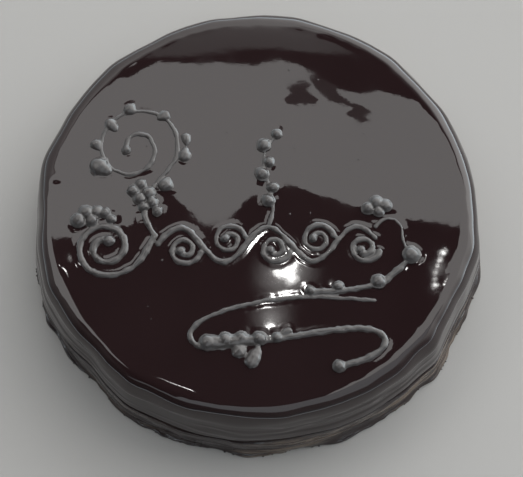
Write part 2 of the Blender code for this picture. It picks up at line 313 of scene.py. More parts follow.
def make_glaze():
    """The mirror glaze, with its duller patches and the rough streaks of the smear, which carry a pale
    painted reflection.
    """
    material, tree, shader, place = new_material("mirror_glaze")
    smear = add_node(tree, "ShaderNodeAttribute", attribute_name="smear").outputs["Fac"]
    clean = mix_colours(tree, noise(tree, place, even(TINT_GRAIN), 3.0), GLAZE_DARK, GLAZE_LIGHT)
    streaks = noise(tree, place, STREAK_GRAIN, 3.0, 0.6)
    spread = remap(tree, noise(tree, place, PATCH_GRAIN, 1.0), *PATCH_RANGE)
    # Where the streaks of the smear are rough, and where the pale painted reflection is laid on them
    smear_and_painted_reflection = product(tree, smear, spread, remap(tree, streaks, *STREAK_RANGE))
    dull = remap(tree, noise(tree, place, even(DULL_GRAIN), 4.0), *DULL_RANGE, *GLAZE_ROUGHNESS)
    waves = product(tree, noise(tree, place, even(WAVE_GRAIN), 1.0), WAVE_DEPTH)
    peel = product(tree, noise(tree, place, even(PEEL_GRAIN), 1.0), PEEL_DEPTH)
    ridges = product(tree, smear, streaks, STREAK_DEPTH)
    fill(tree, shader, {
        "Base Color": mix_colours(tree, smear_and_painted_reflection, clean, SMEAR_PAINTED_REFLECTION),
        "Roughness": maths(tree, "ADD", dull, product(tree, smear_and_painted_reflection, WORN_ROUGHNESS)),
        "IOR": GLAZE_IOR,
        "Normal": bump(tree, maths(tree, "ADD", maths(tree, "ADD", waves, peel), ridges)),
    })
    return material


glaze = make_glaze()
print("material:", glaze.name)

# %% [markdown]
# ## The finish of the piping
#
# The piped strands are the same glaze, but cooler and thicker when they went on. They set with a
# softer shine, so they catch the light of the whole room and look greyer than the mirror under them.

# %% The finish of the piping
PIPING_DARK = (0.034, 0.029, 0.029, 1.0)
PIPING_LIGHT = (0.050, 0.043, 0.043, 1.0)
PIPING_COAT = 0.6
COAT_ROUGHNESS = 0.07
PIPING_TINT_GRAIN = 150.0
PIPING_DULL_GRAIN = 260.0
PIPING_DULL_RANGE = (0.35, 0.7)
PIPING_ROUGHNESS = (0.32, 0.45)
PIPING_GRAIN = 420.0
PIPING_GRAIN_DEPTH = 0.04 * MM


def make_piping():
    """The duller glaze of the piping, under a thin clear coat that gives its soft shine."""
    material, tree, shader, place = new_material("piped_glaze")
    patches = noise(tree, place, even(PIPING_TINT_GRAIN), 3.0)
    dull = noise(tree, place, even(PIPING_DULL_GRAIN), 2.0)
    grain = noise(tree, place, even(PIPING_GRAIN), 2.0)
    fill(tree, shader, {
        "Base Color": mix_colours(tree, patches, PIPING_DARK, PIPING_LIGHT),
        "Roughness": remap(tree, dull, *PIPING_DULL_RANGE, *PIPING_ROUGHNESS),
        "IOR": GLAZE_IOR,
        "Coat Weight": PIPING_COAT,
        "Coat Roughness": COAT_ROUGHNESS,
        "Normal": bump(tree, product(tree, grain, PIPING_GRAIN_DEPTH)),
    })
    return material


piping_finish = make_piping()
print("material:", piping_finish.name)

# %% [markdown]
# ## The shape of the cake
#
# The body is a turned shape: one half section, taken round the upright axis. It is then made uneven
# by a few rules, because poured glaze is never quite round. The radii and heights are those of the
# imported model, so the two fit. The dish of the top, its waves, the folds of the rim and the ledges of
# the wall are finer here than in the solid, because a mirror doubles every tilt and so shows them.

# %% The numbers of the cake
HEIGHT = 50 * MM
RIM_RADIUS = 107.5 * MM
WALL_RADIUS = 116.5 * MM
FOOT_RADIUS = 121 * MM
SHOULDER_DROP = 12 * MM
DISH_DEPTH = 0.02 * MM
CREASE_HEIGHT = 21 * MM
CREASE_DEPTH = 1.2 * MM
LIP_HEIGHT = 2.2 * MM
UNDERCUT = 1.0 * MM
TOP_WAVE = 0.022 * MM
RIM_WAVE = 0.8 * MM
CREASE_WAVE = 3.0 * MM
LIP_WAVE = 0.8 * MM
LIP_RAGGED = 0.22 * MM
RIPPLE_SIZE = 0.22 * MM
# The fine ripple of the outline: (waves round the cake, phase, share)
RIPPLES = ((11, 0.7, 1.0), (17, 2.1, 0.8), (29, 0.0, 0.6))
# Bulges and dents: (angle in degrees from +X, push outwards in mm, half width in degrees)
LOBES = (
    (-12, 2.0, 5), (-27, -1.4, 6), (-40, 1.9, 4), (-51, 0.9, 4), (-84, -0.6, 6), (-124, 1.0, 4),
    (-136, -1.8, 6), (-158, 1.0, 7), (-180, -0.8, 8), (165, 0.6, 5), (141, -0.9, 5), (132, 0.7, 4),
    (66, -0.9, 6), (49, 0.8, 4), (38, -1.0, 6), (2, -1.3, 6),
)
# Folds of glaze that reach in from the rim: (angle in degrees, length in mm, height in mm)
RIM_FOLDS = ((171, 12, 0.15), (71, 8, 0.02), (50, 9, 0.02), (35, 10, 0.02))
FOLD_HALF_WIDTH = 3.4 * MM


def smooth_step(value):
    """0 below 0, 1 above 1, and an S-curve between. It takes numbers and arrays."""
    value = np.clip(value, 0.0, 1.0)
    return value * value * (3 - 2 * value)


def hill(distance, half_width):
    """A round hill: 1 in the middle, falling to about a third at its half width."""
    return np.exp(-((distance / half_width) ** 2))


def top_wave(x, y):
    """The slow unevenness of the flat top."""
    broad = np.sin(x / (21 * MM) + 0.6) * np.cos(y / (25 * MM))
    fine = 0.5 * np.sin((x + y) / (14 * MM))
    return TOP_WAVE * (broad + fine)


def fold_lift(x, y):
    """How far the folds that reach in from the rim lift the top."""
    lift = 0.0 * x
    for degrees, length, height in RIM_FOLDS:
        turn = math.radians(degrees)
        along = x * math.cos(turn) + y * math.sin(turn)
        across = y * math.cos(turn) - x * math.sin(turn)
        reach = hill(along - RIM_RADIUS, 0.5 * length * MM)
        lift = lift + height * MM * hill(across, FOLD_HALF_WIDTH) * reach
    return lift


def dish(radius):
    """The height of the turned top at a radius: a very shallow dish."""
    return HEIGHT - DISH_DEPTH * (1 - smooth_step((radius / RIM_RADIUS - 0.55) / 0.45))


def top_height(x, y):
    """The height of the top at a place inside the rim."""
    return dish(np.hypot(x, y)) + top_wave(x, y) + fold_lift(x, y)


def outline_push(angle):
    """How far the lobes and a fine ripple push the side outwards, at an angle in radians."""
    degrees = np.degrees(angle)
    push = 0.0 * angle
    for at, size, width in LOBES:
        push = push + size * MM * hill((degrees - at + 180) % 360 - 180, width)
    ripple = sum(share * np.sin(waves * angle + phase) for waves, phase, share in RIPPLES)
    return push + RIPPLE_SIZE * ripple


# %% [markdown]
# ## The half section
#
# The section is a row of points from the middle of the top, over the round shoulder and down the
# wall to the foot. The shoulder is a quarter of an ellipse that is a little squarer than a true one,
# because glaze leaves a full roll there. The wall is a smooth curve through a few heights: where the
# curtain of glaze ends there is a crease, and at the bottom the glaze has run out into a thin lip.

# %% The half section
TOP_STEP = 1.35 * MM
SHOULDER_STEPS = 18
SHOULDER_POWER = 0.9
WALL_STEP = 0.72 * MM
COLUMNS = 640


def between(before, start, end, after, share):
    """The point at a share of the way from start to end, on a smooth curve through all four."""
    place = []
    for a, b, c, d in zip(before, start, end, after):
        bend = (2 * a - 5 * b + 4 * c - d) * share**2
        twist = (3 * b - a - 3 * c + d) * share**3
        place.append(0.5 * (2 * b + (c - a) * share + bend + twist))
    return tuple(place)


def curve_through(points, step):
    """A smooth line through points, with a point about every step along it."""
    ends = [points[0]] + list(points) + [points[-1]]
    line = []
    for before, start, end, after in zip(ends, ends[1:], ends[2:], ends[3:]):
        pieces = max(1, round(math.dist(start, end) / step))
        for piece in range(pieces):
            line.append(between(before, start, end, after, piece / pieces))
    return line + [tuple(points[-1])]


def half_section():
    """The half section as (radius, height), from the middle of the top to the middle of the base."""
    rows = round(RIM_RADIUS / TOP_STEP)
    points = [(RIM_RADIUS * row / rows, float(dish(RIM_RADIUS * row / rows))) for row in range(rows)]
    for step in range(SHOULDER_STEPS):
        turn = 0.5 * math.pi * step / SHOULDER_STEPS
        out = (WALL_RADIUS - RIM_RADIUS) * math.sin(turn) ** SHOULDER_POWER
        down = SHOULDER_DROP * (1 - math.cos(turn) ** SHOULDER_POWER)
        points.append((RIM_RADIUS + out, HEIGHT - down))
    flare = FOOT_RADIUS - WALL_RADIUS
    wall = (
        (WALL_RADIUS, HEIGHT - SHOULDER_DROP),
        (WALL_RADIUS + 0.35 * flare, CREASE_HEIGHT + 7 * MM),
        (WALL_RADIUS + 0.50 * flare, CREASE_HEIGHT + 2.0 * MM),
        (WALL_RADIUS + 0.50 * flare - CREASE_DEPTH, CREASE_HEIGHT + 0.2 * MM),
        (WALL_RADIUS + 0.50 * flare + 0.3 * MM, CREASE_HEIGHT - 1.2 * MM),
        (WALL_RADIUS + 0.62 * flare, CREASE_HEIGHT - 4 * MM),
        (WALL_RADIUS + 0.62 * flare, CREASE_HEIGHT - 10 * MM),
        (WALL_RADIUS + 0.66 * flare, 2.0 * LIP_HEIGHT),
        (FOOT_RADIUS - 0.7 * MM, LIP_HEIGHT),
        (FOOT_RADIUS, 0.5 * LIP_HEIGHT),
        (FOOT_RADIUS - UNDERCUT, 0.0),
    )
    points += curve_through(wall, WALL_STEP)
    return points + [(0.6 * FOOT_RADIUS, 0.0), (0.0, 0.0)]


section_points = half_section()
section = new_object("half_section", [(radius, 0.0, z) for radius, z in section_points])
print("half section:", len(section_points), "points")

# %% [markdown]
# ## Turning the section
#
# Geometry Nodes can turn a shape without any sweep. A flat grid has one row for each point of the
# section and one column for each step of the turn. Every point of the grid then looks up its row's
# radius and height and goes to its column's angle. Merging the points that meet closes the seam and
# the two poles.

# %% The tree that turns a section
MERGE_DISTANCE = 0.001 * MM


def make_turning_tree(rows):
    """A tree that bends a flat grid round the axis, with the section's heights and radii."""
    tree, given = new_geometry_tree("turn_the_section", Columns=float(COLUMNS), Section=None)
    columns = maths(tree, "ADD", given["Columns"], 1.0)
    sizes = {"Size X": 1.0, "Size Y": 1.0, "Vertices X": columns, "Vertices Y": rows}
    grid = add_node(tree, "GeometryNodeMeshGrid", sizes)
    position = add_node(tree, "GeometryNodeInputPosition").outputs[0]
    across, along, _ = apart(tree, position)
    row = maths(tree, "ROUND", product(tree, maths(tree, "ADD", along, 0.5), rows - 1.0))
    angle = product(tree, maths(tree, "ADD", across, 0.5), math.tau)
    drawn = add_node(tree, "GeometryNodeObjectInfo", {"Object": given["Section"]})
    asked = {"Geometry": drawn.outputs["Geometry"], "Index": row, "Value": position}
    looked_up = add_node(tree, "GeometryNodeSampleIndex", asked, data_type="FLOAT_VECTOR")
    radius, _, height = apart(tree, looked_up.outputs[0])
    x = product(tree, radius, maths(tree, "COSINE", angle))
    y = product(tree, radius, maths(tree, "SINE", angle))
    turned = together(tree, x, y, height)
    given_places = {"Geometry": grid.outputs["Mesh"], "Position": turned}
    moved = add_node(tree, "GeometryNodeSetPosition", given_places).outputs[0]
    closed = add_node(tree, "GeometryNodeMergeByDistance", {"Geometry": moved, "Distance": MERGE_DISTANCE})
    end_tree(tree, closed.outputs[0], glaze)
    return tree


body = new_object("cake_glaze", [(0.0, 0.0, 0.0)])
run_tree(body, make_turning_tree(len(section_points)), Section=section)
freeze(body)
bpy.data.objects.remove(section)
print("turned body:", len(body.data.vertices), "points,", len(body.data.polygons), "faces")

# %% [markdown]
# ## Making it uneven
#
# The turned body is now moved point by point. The lobes push the whole side in and out, the shoulder
# wobbles, the crease wanders up and down, and the lip at the foot is ragged. These are sums of a few
# waves, so they look like flow and not like noise.

# %% Pour the glaze
SIDE_START = 0.97 * RIM_RADIUS


def places_of(mesh):
    """The places of a mesh's points as an array."""
    flat = np.empty(3 * len(mesh.vertices), dtype=np.float32)
    mesh.vertices.foreach_get("co", flat)
    return flat.reshape(-1, 3).astype(float)


def put_places(mesh, places):
    """Gives a mesh's points new places."""
    mesh.vertices.foreach_set("co", np.ascontiguousarray(places, dtype=np.float32).ravel())
    mesh.update()


def poured(places):
    """Moves the points of the turned cake to where the uneven glaze has them."""
    x, y, z = places.T
    radius = np.hypot(x, y)
    angle = np.arctan2(y, x)
    on_side = smooth_step((radius - SIDE_START) / (WALL_RADIUS - SIDE_START))
    push = on_side * outline_push(angle)
    on_shoulder = hill(z - (HEIGHT - 0.35 * SHOULDER_DROP), 0.4 * SHOULDER_DROP)
    push += on_side * on_shoulder * RIM_WAVE * np.sin(9 * angle + 1.3) * np.cos(4 * angle)
    near_lip = smooth_step(1 - z / (3 * LIP_HEIGHT))
    push += near_lip * LIP_WAVE * np.sin(16 * angle + 1.9) * np.sin(7 * angle + 3 * np.sin(2 * angle))
    ragged = np.sin(41 * angle + 2 * np.sin(9 * angle)) + np.sin(67 * angle + 3 * np.sin(13 * angle))
    push += near_lip * LIP_RAGGED * ragged
    scale = 1 + push / np.maximum(radius, MM)
    upper = z > 0.5 * HEIGHT
    lift = np.where(upper, (1 - on_side) * top_wave(x, y) + (1 - 0.5 * on_side) * fold_lift(x, y), 0.0)
    band = hill(z - CREASE_HEIGHT, 0.5 * CREASE_HEIGHT) * ((z > 0.0) & (z <= HEIGHT - SHOULDER_DROP))
    lift = lift + CREASE_WAVE * band * np.sin(3 * angle + 0.4) * np.cos(2 * angle + 1.0)
    underside = (z <= 0.0) & (radius < FOOT_RADIUS - 2 * UNDERCUT)
    moved = np.stack([x * scale, y * scale, z + lift], axis=1)
    return np.where(underside[:, None], places, moved)


put_places(body.data, poured(places_of(body.data)))
body_places = places_of(body.data)
frame_middle = 0.5 * (np.array(frame_box[0]) + np.array(frame_box[1]))
own_middle = 0.5 * (body_places.min(axis=0) + body_places.max(axis=0))
SEAT = np.array([frame_middle[0] - own_middle[0], frame_middle[1] - own_middle[1], 0.0])
print("the cake is moved by", np.round(SEAT / MM, 2), "mm to stand where the frame has it")

# %% [markdown]
# ## The lines of the piping
#
# The piping is drawn as lines first, each with a width at its start, middle and end. A volute is a
# spiral, worked out from its centre, its radius and its turns. A free line is a smooth curve through
# a few given points. A bead is one point with a width.
#
# The stem across the middle is a running scroll, a common border ornament: a wave, with a volute
# curled into each of its hollows.

# %% Helpers for lines
LINE_STEP = 0.9 * MM
SCROLL_MIDDLE_Y = -22 * MM
SCROLL_HEIGHT = 9.5 * MM
SCROLL_LENGTH = 46 * MM
SCROLL_START_X = -52 * MM
SCROLL_END_X = 62 * MM
FIRST_CREST_X = -40 * MM
STEM_WIDTH = 3.0 * MM
VOLUTE_RADIUS = 8.6 * MM
VOLUTE_EYE = 2.4 * MM
VOLUTE_TURNS = 1.45
# How deep a strand and a bead lie in the top, as shares of their width. A bead stands a little proud.
STRAND_SINK = 0.02
BEAD_SINK = -0.06
SEED = 24


def millimetres(*pairs):
    """A line's points, given in millimetres."""
    return [(x * MM, y * MM) for x, y in pairs]


def volute(centre, outer, eye, start_degrees, turns):
    """A line that winds in round a centre. A positive number of turns winds anticlockwise."""
    length = math.tau * abs(turns) * 0.5 * (outer + eye)
    count = round(length / LINE_STEP)
    line = []
    for index in range(count + 1):
        share = index / count
        radius = outer + (eye - outer) * share
        turn = math.radians(start_degrees) + math.tau * turns * share
        line.append((centre[0] + radius * math.cos(turn), centre[1] + radius * math.sin(turn)))
    return line


class Piping:
    """The lines and beads of one piped piece."""

    def __init__(self):
        self.places = []
        self.widths = []
        self.is_bead = []
        self.edges = []

    def add(self, x, y, width, is_bead):
        """Adds one point, at the height at which its strand or bead lies on the top."""
        sink = BEAD_SINK if is_bead else STRAND_SINK
        self.places.append((x, y, float(top_height(x, y)) - sink * width))
        self.widths.append(width)
        self.is_bead.append(is_bead)

    def strand(self, line, start, middle, end):
        """Adds a strand. Its ends are round, and its width changes evenly between the three."""
        lengths = np.concatenate([[0.0], np.cumsum([math.dist(a, b) for a, b in zip(line, line[1:])])])
        total = lengths[-1]
        first = len(self.places)
        for (x, y), at in zip(line, lengths):
            width = np.interp(at / total, (0.0, 0.5, 1.0), (start, middle, end))
            near_end = min(at, total - at) / (0.5 * width)
            width *= math.sqrt(max(0.04, 1 - max(0.0, 1 - near_end) ** 2))
            self.add(x, y, float(width), False)
        self.edges += [(index, index + 1) for index in range(first, len(self.places) - 1)]

    def curve(self, points, *widths):
        """Adds a strand along a smooth curve through points. All of it is in millimetres."""
        line = curve_through(millimetres(*points), LINE_STEP)
        self.strand(line, *(width * MM for width in widths))

    def bead(self, x, y, width):
        """Adds a bead."""
        self.add(x, y, width, True)

    def drop(self, x, y, length, width, degrees):
        """Adds a drop: round at its start, and pulled out to a point."""
        turn = math.radians(degrees)
        count = max(8, round(length / LINE_STEP))
        reach = [length * index / count for index in range(count + 1)]
        line = [(x + out * math.cos(turn), y + out * math.sin(turn)) for out in reach]
        self.strand(line, 0.95 * width, width, 0.3 * width)

    def beads(self, rows):
        """Adds beads from rows of x, y and width in millimetres."""
        for x, y, width in rows:
            self.bead(x * MM, y * MM, width * MM)

    def drops(self, rows):
        """Adds drops from rows of x, y, length and width in millimetres, and degrees."""
        for x, y, length, width, degrees in rows:
            self.drop(x * MM, y * MM, length * MM, width * MM, degrees)


# %% [markdown]
# ### The scroll, its volutes and the clusters of beads
#
# The scroll runs across the middle of the cake. The large volute closes it at the left, and heaps of
# beads sit where a piping bag was held still and squeezed.

# %% The scroll
def draw_scroll():
    """The wave of the stem, with a volute in each hollow."""
    piece = Piping()
    count = round((SCROLL_END_X - SCROLL_START_X) / (0.7 * LINE_STEP))
    stem = []
    for index in range(count + 1):
        x = SCROLL_START_X + (SCROLL_END_X - SCROLL_START_X) * index / count
        phase = math.tau * (x - FIRST_CREST_X) / SCROLL_LENGTH
        stem.append((x, SCROLL_MIDDLE_Y + SCROLL_HEIGHT * math.cos(phase)))
    piece.strand(stem, STEM_WIDTH, 0.9 * STEM_WIDTH, 0.8 * STEM_WIDTH)
    draw = random.Random(SEED)
    half = 0.5 * SCROLL_LENGTH
    for index in range(int((SCROLL_END_X - FIRST_CREST_X) / half) + 1):
        side = 1 if index % 2 == 0 else -1
        size = draw.uniform(0.9, 1.05)
        centre_x = FIRST_CREST_X + index * half + 0.5 * half - size * VOLUTE_RADIUS
        centre = (centre_x, SCROLL_MIDDLE_Y - side * 2.6 * MM)
        line = volute(centre, size * VOLUTE_RADIUS, VOLUTE_EYE, 0, -side * VOLUTE_TURNS)
        piece.strand(line, STEM_WIDTH, 0.8 * STEM_WIDTH, STEM_WIDTH)
        piece.bead(*line[-1], 4.2 * MM)
    return piece


def draw_left_volute(piece):
    """The large volute at the left, and the line that joins it to the stem."""
    line = volute((-78 * MM, -23 * MM), 15.5 * MM, 4 * MM, -75, -1.6)
    join = curve_through(millimetres((-52, -15), (-60, -30), (-68, -36.5)) + [line[0]], LINE_STEP)
    piece.strand(join[:-1] + line, STEM_WIDTH, 2.9 * MM, 3.6 * MM)
    piece.bead(*line[-1], 5.5 * MM)


# (x, y, width), all in mm
CLUSTERS = (
    (-92.5, -8, 7.2), (-88.5, -3.5, 7.0), (-85.5, -8, 6.0), (-83.2, -3, 5.8), (-78.8, -4, 5.4),
    (-75.4, -7.2, 4.6), (-64.5, 8.6, 6.0), (-60.2, 12, 5.4), (-56.5, 7, 6.6), (-61, 4, 6.0),
    (-54.5, 1.8, 5.8), (-58.8, -0.6, 5.0), (-51.6, -3, 5.0), (58, -2.6, 6.2), (62.4, 0.8, 6.8),
    (67, -1, 6.4), (63.6, -4.4, 5.4),
)

scroll_lines = draw_scroll()
draw_left_volute(scroll_lines)
scroll_lines.beads(CLUSTERS)
print("scroll:", len(scroll_lines.places), "points")

# %% [markdown]
# ### The frond and the sprig
#
# The frond curls over at the upper left and carries drops that were pulled away from it. The sprig
# stands in the middle with a row of beads up its stem.

# %% The frond and the sprig
def draw_frond(piece):
    """The curled frond and the drops along it."""
    path = (
        (-52, -18), (-58, -6), (-57, 6), (-49, 17), (-42, 29), (-43, 43), (-53, 53), (-67, 54.5), (-78, 47),
        (-82, 34), (-77, 22.5), (-66, 18), (-56.5, 23), (-53.5, 33), (-59, 41), (-67, 39.5), (-69, 33),
    )
    piece.curve(path, 2.8, 1.7, 2.4)
    piece.bead(-68.5 * MM, 32 * MM, 4.6 * MM)
    piece.drops((
        (-70, 57.5, 7, 6, -35), (-79.5, 50, 9, 6, -50), (-87, 26, 13, 9.5, -35), (-86, 38, 7, 5.5, -60),
        (-38.5, 25, 9, 6, 80), (-49.5, 8.5, 9, 7, 62), (-37.5, 42, 8, 5, -85), (-46, 53.5, 8, 5, -150),
    ))


def draw_sprig(piece):
    """The sprig in the middle, with beads up its stem."""
    piece.curve(((6, -12.5), (8.5, -3), (7, 9), (4, 20), (5, 31), (9.5, 38.5)), 2.2, 1.6, 1.4)
    piece.beads((
        (11, 40.5, 5.2), (4, 34, 6.4), (6.8, 24.5, 5.2), (3, 17.5, 6.6), (8.6, 10, 5.4), (6.2, 2.5, 6.2),
    ))


frond_lines = Piping()
draw_frond(frond_lines)
draw_sprig(frond_lines)
print("frond and sprig:", len(frond_lines.places), "points")

# %% [markdown]
# ### The flourish
#
# The long flourish under the scroll was piped in one quick pull, so its line is thin where the hand
# moved fast and thick where it turned.

# %% The flourish
def draw_flourish(piece):
    """The link to the scroll, the two long strokes, and the heap of beads on the lower one."""
    link = ((61, -13.5), (65, -9), (71, -8.5), (75, -13.5), (75.5, -20.5), (78.5, -28))
    piece.curve(link, 2.0, 1.3, 1.8)
    upper = ((79.5, -28.5), (73, -36), (64, -43), (52, -46.5), (40, -48), (27, -48.5))
    piece.curve(upper, 3.4, 2.8, 3.6)
    lower = (
        (61, -53), (46, -52), (27, -51), (7, -52.5), (-10, -56), (-23, -60.5), (-31.5, -66), (-34, -71.5),
        (-30, -76.5), (-20, -76.5), (-6, -75), (8, -73.5), (24, -71), (42, -68.5), (56, -68.5), (63.5, -72),
        (63.5, -77.5), (56, -83.5), (42, -88),
    )
    piece.curve(lower, 1.8, 2.8, 3.4)
    piece.curve(((-29, -74.5), (-18, -75), (-6, -74), (8, -73.5)), 8.0, 6.5, 3.0)
    piece.beads((
        (79.5, -28.5, 8.0), (62, -43, 6.8), (41.5, -45.5, 5.4), (27, -47.5, 5.0), (41, -88, 6.0),
        (-25, -75, 7.4), (-16, -73.5, 6.8), (-8, -72.5, 6.0), (1, -73, 6.6), (10, -72.5, 5.0),
    ))
    piece.drops(((-12.5, -82, 9, 6, 35), (-4.5, -88.5, 13, 6.6, 66), (18, -68, 8, 4, -152)))


flourish_lines = Piping()
draw_flourish(flourish_lines)
print("flourish:", len(flourish_lines.places), "points")

# %% [markdown]
# ## From lines to piped glaze
#
# One Geometry Nodes tree turns the lines into strands and the single points into beads. Every line
# becomes a curve, and a flattened circle is swept along it, scaled by half the width. A wider and
# much flatter one is swept along it too: where it breaks through the top it makes the thin skirt with
# which a wet strand clings to the glaze.
#
# A hand doesn't pipe evenly, so noise shifts every point a little. The sweeps and beads only overlap.
# A voxel remesh joins them into one skin, and a little smoothing rounds the creases, as soft glaze
# rounds them by itself.

# %% The tree that pipes
SKIRT_WIDTH = 1.3
SKIRT_FLATNESS = 0.2
STRAND_FLATNESS = 0.66
BEAD_FLATNESS = 0.74
WIDTH_GRAIN = 170.0
WIDTH_SHARES = (0.86, 1.14)
HAND_GRAIN = 210.0
HAND_SHIFT = 1.7 * MM
RING_SIDES = 20
BALL_SEGMENTS = 28
BALL_RINGS = 18
VOXEL = 0.36 * MM
SMOOTH_ROUNDS = 5


def make_piping_tree():
    """A tree that sweeps strands along the lines and sets beads on the single points."""
    skirt_sizes = {"Skirt width": SKIRT_WIDTH, "Skirt flatness": SKIRT_FLATNESS}
    flatness = {"Flatness": STRAND_FLATNESS, "Bead flatness": BEAD_FLATNESS}
    tree, given = new_geometry_tree("pipe_the_lines", **flatness, **skirt_sizes)
    width = add_node(tree, "GeometryNodeInputNamedAttribute", {"Name": "width"}).outputs[0]
    is_bead = add_node(tree, "GeometryNodeInputNamedAttribute", {"Name": "is_bead"}).outputs[0]
    place = add_node(tree, "GeometryNodeInputPosition").outputs[0]
    hand = remap(tree, noise(tree, place, even(WIDTH_GRAIN), 1.0), 0.3, 0.7, *WIDTH_SHARES, "LINEAR")
    radius = product(tree, width, 0.5, hand)
    split = {"Geometry": given["Geometry"], "Selection": is_bead}
    chosen = add_node(tree, "GeometryNodeSeparateGeometry", split, domain="POINT")
    line = add_node(tree, "GeometryNodeMeshToCurve", {"Mesh": chosen.outputs["Inverted"]}).outputs[0]
    level = add_node(tree, "GeometryNodeSetCurveNormal", {"Curve": line}, mode="Z_UP").outputs[0]
    round_line = {"Resolution": RING_SIDES, "Radius": 1.0}
    ring = add_node(tree, "GeometryNodeCurvePrimitiveCircle", round_line).outputs[0]
    sphere = {"Segments": BALL_SEGMENTS, "Rings": BALL_RINGS, "Radius": 0.5}
    ball = add_node(tree, "GeometryNodeMeshUVSphere", sphere).outputs[0]
    parts = []
    skirt = (given["Skirt width"], given["Skirt flatness"], given["Skirt flatness"])
    for across, up, bead_up in ((1.0, given["Flatness"], given["Bead flatness"]), skirt):
        squash = together(tree, across, up, 1.0)
        profile = add_node(tree, "GeometryNodeTransform", {"Geometry": ring, "Scale": squash}).outputs[0]
        sweep = {"Curve": level, "Profile Curve": profile, "Scale": radius, "Fill Caps": True}
        parts.append(add_node(tree, "GeometryNodeCurveToMesh", sweep).outputs[0])
        size = vector_maths(tree, "MULTIPLY", together(tree, across, across, bead_up), width)
        placing = {"Points": chosen.outputs["Selection"], "Instance": ball, "Scale": size}
        parts.append(add_node(tree, "GeometryNodeInstanceOnPoints", placing).outputs[0])
    joined = add_node(tree, "GeometryNodeJoinGeometry")
    for part in parts:
        tree.links.new(part, joined.inputs[0])
    real = add_node(tree, "GeometryNodeRealizeInstances", {"Geometry": joined.outputs[0]}).outputs[0]
    grained = vector_maths(tree, "MULTIPLY", place, even(HAND_GRAIN))
    drift = add_node(tree, "ShaderNodeTexNoise", {"Vector": grained, "Scale": 1.0, "Detail": 1.0})
    centred = vector_maths(tree, "SUBTRACT", drift.outputs["Color"], (0.5, 0.5, 0.5))
    shift = vector_maths(tree, "MULTIPLY", centred, (HAND_SHIFT, HAND_SHIFT, 0.5 * HAND_SHIFT))
    uneven = add_node(tree, "GeometryNodeSetPosition", {"Geometry": real, "Offset": shift})
    end_tree(tree, uneven.outputs[0], piping_finish)
    return tree


piping_tree = make_piping_tree()


def pipe(name, lines):
    """Makes one piped piece from its lines and beads."""
    item = new_object(name, lines.places, lines.edges)
    for label, kind, values in (("width", "FLOAT", lines.widths), ("is_bead", "BOOLEAN", lines.is_bead)):
        item.data.attributes.new(label, kind, "POINT").data.foreach_set("value", values)
    run_tree(item, piping_tree)
    freeze(item)
    skin = item.modifiers.new("skin", "REMESH")
    skin.mode = "VOXEL"
    skin.voxel_size = VOXEL
    skin.use_smooth_shade = True
    soften = item.modifiers.new("soften", "SMOOTH")
    soften.iterations = SMOOTH_ROUNDS
    freeze(item)
    item.data.materials.clear()
    item.data.materials.append(piping_finish)
    item.data.shade_smooth()
    print(name, "has", len(item.data.polygons), "faces")
    return item


scroll = pipe("scroll", scroll_lines)
frond = pipe("frond", frond_lines)
flourish = pipe("flourish", flourish_lines)

# %% [markdown]
# ## The relief of the glaze
#
# Now the body gets what a turned shape can't have. Round each strand the glaze rises in a soft swell,
# because the piping sank in while it was wet. Below the crease the spatula left long level streaks,
# which are noise stretched along the side and squeezed in height. The wall above has slow folds and
# the thin edges of runs of glaze that stopped on their way down. The roll of the rim sags a little
# here and there. The same tree writes down where the glaze is smeared, for the material.

# %% The tree of the relief
SWELL_HEIGHT = 0.045 * MM
SWELL_WIDTH = 2.0 * MM
STREAK_RELIEF = 4.6 * MM
STREAK_RELIEF_GRAIN = (26.0, 26.0, 170.0)
FOLD_RELIEF = 1.2 * MM
FOLD_GRAIN = (42.0, 42.0, 26.0)
RUN_RELIEF = 0.5 * MM
RUN_GRAIN = (11.0, 11.0, 130.0)
RUN_RANGE = (0.49, 0.60)
SAG_RELIEF = 1.4 * MM
SAG_GRAIN = (34.0, 34.0, 10.0)


def centred_noise(tree, *given):
    """Noise whose middle is at 0."""
    return maths(tree, "SUBTRACT", noise(tree, *given), 0.5)


